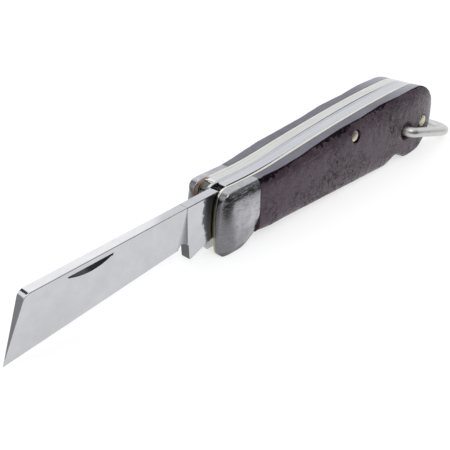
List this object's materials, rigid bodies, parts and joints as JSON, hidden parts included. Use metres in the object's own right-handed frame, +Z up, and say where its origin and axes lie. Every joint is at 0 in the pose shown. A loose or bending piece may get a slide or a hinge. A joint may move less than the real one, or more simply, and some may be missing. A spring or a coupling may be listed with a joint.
{
  "type": "folding grafting knife",
  "caption": "Folding grafting knife with a straight-edged clip-nosed blade open, dark scales between metal bolsters and brass liners, and a wire hanging bail.",
  "frame": {"origin": "middle of the overall length and width, on the plane the knife stands on", "axes": "+X from the blade's tip to the butt, +Z up towards the back of the handle, -Y the side with the nail nick"},
  "size_m": [0.1396, 0.0192, 0.0187],
  "materials": {
    "scale": "dark stained, dressed and worn",
    "bolster": "nickel silver, polished and scuffed",
    "liner": "brushed edges",
    "divider": "sheet metal, ground edge",
    "spring": "ground edge",
    "blade": "satin polished",
    "bolster_pin": "spun flush",
    "scale_pin": "spun and polished",
    "bail": "bright nickel-plated wire"
  },
  "bodies": {
    "handle": {"obverse_scale": "scale", "reverse_scale": "scale", "obverse_bolster": "bolster", "reverse_bolster": "bolster", "obverse_liner": "liner", "reverse_liner": "liner", "centre_liner": "divider", "main_spring": "spring", "lifter_spring": "spring", "pivot_pin": "bolster_pin", "mid_pin": "scale_pin", "butt_pin": "scale_pin", "obverse_rivet": "liner", "reverse_rivet": "liner"},
    "main_blade": {"main_blade": "blade"},
    "bark_lifter": {"bark_lifter": "blade"},
    "bail": {"bail": "bail"}
  },
  "joints": [
    {"name": "main_blade_hinge", "type": "hinge", "parent": "handle", "child": "main_blade", "pos_m": [-0.01513, 0, 0.0072], "axis": [0, -1, 0], "range_deg": [0, 175]},
    {"name": "bark_lifter_hinge", "type": "hinge", "parent": "handle", "child": "bark_lifter", "pos_m": [-0.01513, 0, 0.0072], "axis": [0, 1, 0], "range_deg": [0, 175]},
    {"name": "bail_hinge", "type": "hinge", "parent": "handle", "child": "bail", "pos_m": [0.04547, 0, 0.0079], "axis": [0, -1, 0], "range_deg": [-133, 156]}
  ]
}
